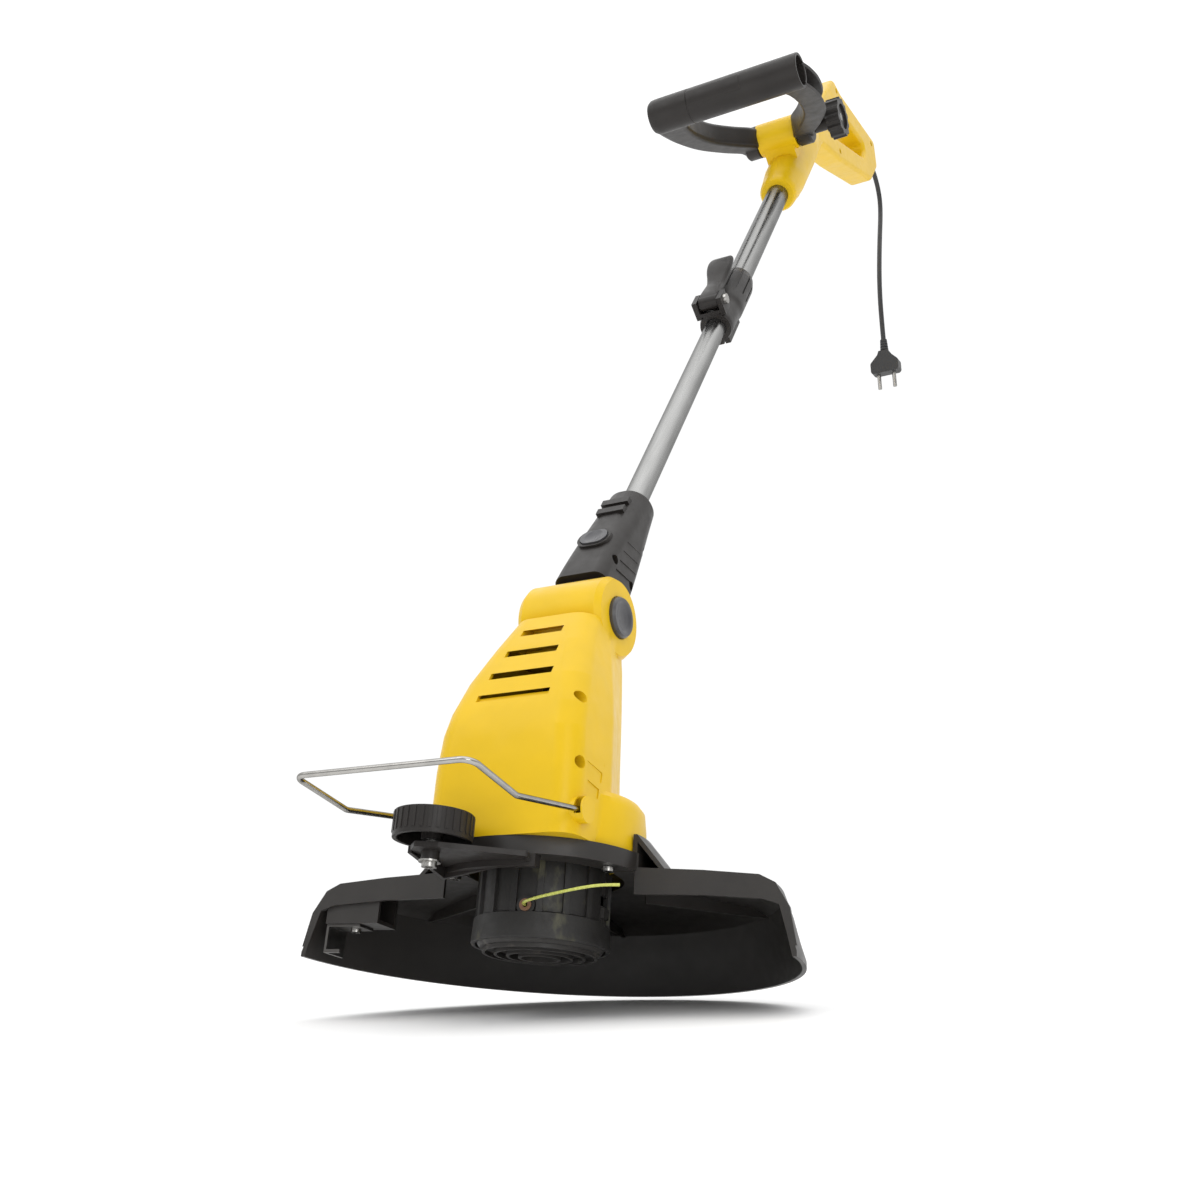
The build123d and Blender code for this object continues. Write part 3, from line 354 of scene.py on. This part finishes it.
def turned(form, outline, frame_at, count=48):
    """Turn an open outline of (radius, along) pairs about a frame's Z axis."""
    rings = []
    for radius, along in outline:
        if radius == 0:
            rings.append([form.verts.new(frame_at @ Vector((0, 0, along)))])
            continue
        angles = [2 * math.pi * k / count for k in range(count)]
        circle = [Vector((radius * math.cos(a), radius * math.sin(a), along)) for a in angles]
        rings.append([form.verts.new(frame_at @ point) for point in circle])
    for first, second in zip(rings, rings[1:]):
        for k in range(count):
            n = (k + 1) % count
            corners = [first[k % len(first)], first[n % len(first)], second[n % len(second)],
                       second[k % len(second)]]
            form.faces.new(list(dict.fromkeys(corners)))


def rounded(half_out, half_up, radius, steps=4):
    """A rounded rectangle as (out, up) pairs."""
    outline = []
    for k, (sx, sy) in enumerate(((1, 1), (-1, 1), (-1, -1), (1, -1))):
        for step in range(steps + 1):
            a = math.radians(90 * k + 90 * step / steps)
            outline.append((sx * (half_out - radius) + radius * math.cos(a),
                            sy * (half_up - radius) + radius * math.sin(a)))
    return outline


def finished(form, name):
    """A mesh object from a form, smooth but for its sharp edges."""
    bmesh.ops.recalc_face_normals(form, faces=form.faces)
    creased(form, CREASE)
    mesh = bpy.data.meshes.new(name)
    form.to_mesh(mesh)
    form.free()
    return link(name, mesh)


def in_metres(pairs):
    """Pairs of lengths given in mm."""
    return [(a * MM, b * MM) for a, b in pairs]


# ---------------------------------------------------------------- front handle
# The loop's frame lies on the cross bolt, with Y along the arms; all its lengths are in mm.
LOOP = (SHAFT @ Matrix.Translation(Vector((0, -37, 770)) * MM)
        @ Matrix.Rotation(math.radians(-125), 4, "X"))
ALONG_X = Matrix.Rotation(math.radians(90), 4, "Y")
BAR = LOOP @ Matrix.Translation(Vector((0, 156, 0)) * MM) @ ALONG_X
EYE_AT = 28.15                      # middle of an arm's eye, from the tool's middle
BAR_R = 16.4
ARM_ROUTE = [(28.5, 4), (31, 16), (44, 36), (58.5, 66), (65, 100), (65.5, 128), (63, 146)]
SOLID_ARM = rounded(12, 11, 4.5)
CHANNEL_ARM = [(-9, 11), (-10.4, 9.6), (-10.4, -9.6), (-9, -11), (10, -11), (11.5, -9.6), (10, -8.2),
               (-5.5, -8.2), (-7.4, -6.6), (-7.4, 6.6), (-5.5, 8.2), (10, 8.2), (11.5, 9.6), (10, 11)]
# Outlines to turn, as radius and place along the axis.
EYE_OUTLINE = [(4.1, -7.7), (15, -7.7), (16.6, -6.2), (16.6, 6.2), (15, 7.7), (4.1, 7.7), (4.1, -7.7)]
BAR_OUTLINE = [(0, -76), (9, -76), (14, -75), (16, -72), (BAR_R, -68), (BAR_R, -34.4), (16, -34.2),
               (16, -33.6), (16.3, -33.4), (16.3, 75), (15.8, 76), (14, 76), (13.4, 75.4),
               (13.4, -60), (0, -60)]
RIB_TURNS = (35, 125)               # degrees round the bar
RIB_ENDS = (20, 66)                 # along it
INLAY_ROWS = [(-34, -0.4), (-33, 0.5), (20, 0.5), (21, -0.4)]    # along the bar, height over it
INLAY_FROM = 50                     # degrees round the bar to its first long edge
INLAY_SPAN = 60                     # and across it
INLAY_STEPS = 12
INLAY_SUNK = -0.4


def arm(form, sign, outline, widen):
    """One curved arm of the loop, and the eye at its foot."""
    side = LOOP.to_3x3() @ Vector((0, 0, 1))
    route = [LOOP @ (Vector((sign * x, y, 0)) * MM) for x, y in ARM_ROUTE]
    swept(form, in_metres(outline), smooth_path(route, 6), side, widen)
    eye = LOOP @ Matrix.Translation((sign * EYE_AT * MM, 0, 0)) @ ALONG_X
    turned(form, in_metres(EYE_OUTLINE), eye)


def grip_bar(form):
    """Hollow round bar, open on the right, with crossed ribs inside."""
    turned(form, in_metres(BAR_OUTLINE), BAR)
    for turn in RIB_TURNS:
        across = BAR.to_3x3() @ Matrix.Rotation(math.radians(turn), 3, "Z") @ Vector((0, 1, 0))
        middle = [BAR @ Vector((0, 0, z * MM)) for z in RIB_ENDS]
        swept(form, in_metres(rounded(13.2, 0.9, 0.4, 2)), middle, across.normalized())


def inlay(form):
    """Smooth raised inlay on the front of the grip bar, its edges sunk in the bar."""
    rows = []
    for along, height in INLAY_ROWS:
        row = []
        for k in range(INLAY_STEPS + 1):
            a = math.radians(INLAY_FROM + INLAY_SPAN * k / INLAY_STEPS)
            radius = BAR_R + (height if 0 < k < INLAY_STEPS else INLAY_SUNK)
            point = Vector((radius * math.cos(a), radius * math.sin(a), along)) * MM
            row.append(form.verts.new(BAR @ point))
        rows.append(row)
    for first, second in zip(rows, rows[1:]):
        for k in range(INLAY_STEPS):
            form.faces.new((first[k], first[k + 1], second[k + 1], second[k]))


def front_handle():
    """Grip bar on a solid left arm and a right arm that is an outward-open channel."""
    form = bmesh.new()
    arm(form, -1, SOLID_ARM, 0.5)
    arm(form, 1, CHANNEL_ARM, 0.25)
    grip_bar(form)
    inlay(form)
    obj = finished(form, "look.front_handle")
    bevelled(obj, 0.6 * MM, CREASE)
    return obj


# ---------------------------------------------------------------- clamp lever
LEVER_PIN = Vector((0, -20.5, 416)) * MM    # in the shaft frame
# Rows up the lever, in mm from the pin: forward, up, half thickness, half width.
LEVER_ROWS = [(4.0, -2, 1.8, 8.6), (4.6, 6, 2.4, 8.6), (3.4, 18, 3.4, 8.4), (2.6, 28, 3.6, 8.4),
              (4.4, 38, 3.2, 9.6), (7.4, 48, 2.8, 11.4), (9.2, 57, 2.5, 12.0), (9.6, 64, 2.2, 11.0),
              (9.3, 68, 1.7, 8.4), (9.0, 69.6, 1.1, 5.0)]
CAM_OUTLINE = [(0, -8.7), (5.6, -8.7), (6.2, -8.1), (6.2, 8.1), (5.6, 8.7), (0, 8.7)]


def clamp_lever():
    """Bowed cam lever with a broad round-topped pad, on its cam."""
    form = bmesh.new()
    rows = smooth_path([Vector(row) for row in LEVER_ROWS], 5)
    rings = []
    for k, row in enumerate(rows):
        step = rows[min(k + 1, len(rows) - 1)] - rows[max(k - 1, 0)]
        out = Vector((0, -step.y, -step.x)).normalized()
        at = LEVER_PIN + Vector((0, -row.x, row.y)) * MM
        rings.append([form.verts.new(SHAFT @ (at + (out * a + Vector((b, 0, 0))) * MM))
                      for a, b in rounded(row.z, row.w, row.z * 0.9)])
    closed(form, rings)
    turned(form, in_metres(CAM_OUTLINE), SHAFT @ Matrix.Translation(LEVER_PIN) @ ALONG_X)
    return finished(form, "look.clamp_lever")


# ---------------------------------------------------------------- cords
def tube_curve(name, points, diameter):
    """A round cord along a smooth curve."""
    data = bpy.data.curves.new(name, "CURVE")
    data.dimensions = "3D"
    data.bevel_depth = diameter / 2
    data.bevel_resolution = 6
    data.resolution_u = 10
    spline = data.splines.new("NURBS")
    spline.points.add(len(points) - 1)
    for point, at in zip(spline.points, points):
        point.co = (*at, 1)
    spline.order_u = 3
    spline.use_endpoint_u = True
    return link(name, data)


# Heading in degrees above the horizontal, looking back, and length in mm of each run.
CORD_RUNS = [(-17, 15.5), (-41, 15.5), (-65, 15.5), (-89, 15.5), (-105, 22), (-111, 30), (-109, 38),
             (-106, 38), (-99, 34), (-92, 28), (-90, 24)]
GLAND = (SHAFT @ Matrix.Translation(Vector((0, 121.5, 1108.2)) * MM)
         @ Matrix.Rotation(math.radians(-41.6), 4, "X"))
GLAND_TIP = 10 * MM
STRAIGHT_OUT = 15 * MM


def cord_points():
    """The mains cord's centre line from the gland's tip to the plug."""
    points = [GLAND @ Vector((0, 0, GLAND_TIP + run)) for run in (0, STRAIGHT_OUT)]
    for heading, run in CORD_RUNS:
        turn = math.radians(heading)
        points.append(points[-1] + Vector((0, math.cos(turn), math.sin(turn))) * run * MM)
    return points


EYELET_ANGLE = math.radians(-74)
DRUM_R = 40
# The front line's points in the head frame, in mm, from its eyelet out.
LINE_POINTS = [(DRUM_R * math.cos(EYELET_ANGLE), DRUM_R * math.sin(EYELET_ANGLE), 17.5),
               (12.6, -44, 17), (18, -49.5, 17), (28, -53.5, 17.8), (43, -57.5, 18.9),
               (58, -61, 20), (71, -61.5, 21), (79, -57, 21.5)]


def line_points(turn):
    """A free cutting line's centre line, turned about the spindle."""
    spun = HEAD @ Matrix.Rotation(math.radians(turn), 4, "Z")
    return [spun @ (Vector(p) * MM) for p in LINE_POINTS]


def free_cords():
    """The mains cord up to its plug, and the two free ends of the cutting line."""
    points = cord_points()
    flex = tube_curve("look.mains_cord", points, CORD_D)
    place(flex, "mains_cord")
    for node, turn in (("cutting_line_front", 0), ("cutting_line_rear", 180)):
        points = line_points(turn)
        line = tube_curve("look." + node, points, LINE_D)
        place(line, node)


# ---------------------------------------------------------------- stage
def floor():
    """A wide pale floor."""
    mesh = bpy.data.meshes.new("floor")
    form = bmesh.new()
    bmesh.ops.create_grid(form, x_segments=4, y_segments=4, size=FLOOR_HALF)
    form.to_mesh(mesh)
    form.free()
    obj = link("floor", mesh)
    obj.location = (0, 0, FLOOR_Z)
    made, tree, shader = new_material("floor_paper")
    tone = ramp(tree, noise(tree, 0.5, 4), 0.3, 0.7, (0.88, 0.88, 0.88), (0.91, 0.91, 0.91))
    tree.links.new(tone, shader.inputs["Base Color"])
    tree.links.new(spread(tree, noise(tree, 0.2, 3), 0.75, 0.85), shader.inputs["Roughness"])
    paint(obj, made)


def area_light(name, at, aim, size, power):
    """A soft square light of a width and a power in watts, pointed at a spot."""
    data = bpy.data.lights.new(name, "AREA")
    data.shape = "SQUARE"
    data.size = size
    data.energy = power
    lamp = link(name, data)
    lamp.location = at
    lamp.rotation_euler = (Vector(aim) - Vector(at)).to_track_quat("-Z", "Y").to_euler()


def combine(tree, operation, first, second):
    """One maths node on two values."""
    node = tree.nodes.new("ShaderNodeMath")
    node.operation = operation
    tree.links.new(first, node.inputs[0])
    tree.links.new(second, node.inputs[1])
    return node.outputs["Value"]


def surround():
    """White surround, bright overhead, and dimmer in front and on the right to give metal contrast."""
    world = bpy.data.worlds.new("surround")
    bpy.context.scene.world = world
    world.use_nodes = True
    tree = world.node_tree
    source = tree.nodes.new("ShaderNodeTexCoord")
    parts = tree.nodes.new("ShaderNodeSeparateXYZ")
    tree.links.new(source.outputs["Generated"], parts.inputs["Vector"])
    # Each direction's cosine along an axis, and the light's strength over that range.
    front = ranged(tree, parts.outputs["Y"], -0.6, 0.25, 0.62, 1.03)
    right = ranged(tree, parts.outputs["X"], 0.6, 1.0, 1.0, 0.6)
    overhead = ranged(tree, parts.outputs["Z"], 0.5, 1.0, 0.0, 1.1)
    sides = combine(tree, "MULTIPLY", front, right)
    strength = combine(tree, "ADD", sides, overhead)
    sky = tree.nodes["Background"]
    sky.inputs["Color"].default_value = (1, 1, 1, 1)
    tree.links.new(strength, sky.inputs["Strength"])


def lighting():
    """A large soft key from the front left and a fill from the right, under the surround."""
    surround()
    middle = (0, -0.45, -0.5)
    area_light("key", (-1.2, -2.6, 1.4), middle, 1.6, 12)
    area_light("fill", (1.6, -2.4, 0.0), middle, 1.2, 11)


CAMERA_AT = Vector((404.97, -1474.13, -942.45)) * MM
AZIMUTH, PITCH, ROLL = (math.radians(a) for a in (27.486, 13.037, -2.11))
FOCAL = 1350.65 / 1200              # focal length over the frame's width


def camera():
    """The camera near the floor, in front and to the right of the head, looking up the shaft."""
    data = bpy.data.cameras.new("camera")
    data.sensor_width = 36
    data.lens = 36 * FOCAL
    data.clip_start = 0.05
    data.clip_end = 60
    eye = link("camera", data)
    ahead = Vector((-math.sin(AZIMUTH) * math.cos(PITCH), math.cos(AZIMUTH) * math.cos(PITCH),
                    math.sin(PITCH)))
    right = Vector((math.cos(AZIMUTH), math.sin(AZIMUTH), 0))
    upward = right.cross(ahead)
    across = math.cos(ROLL) * right + math.sin(ROLL) * upward
    above = -math.sin(ROLL) * right + math.cos(ROLL) * upward
    turn = Matrix((across, above, -ahead)).transposed()
    eye.matrix_world = Matrix.Translation(CAMERA_AT) @ turn.to_4x4()
    bpy.context.scene.camera = eye


soften_all()
free_cords()
floor()
lighting()
camera()
bpy.context.scene.view_settings.view_transform = "Standard"
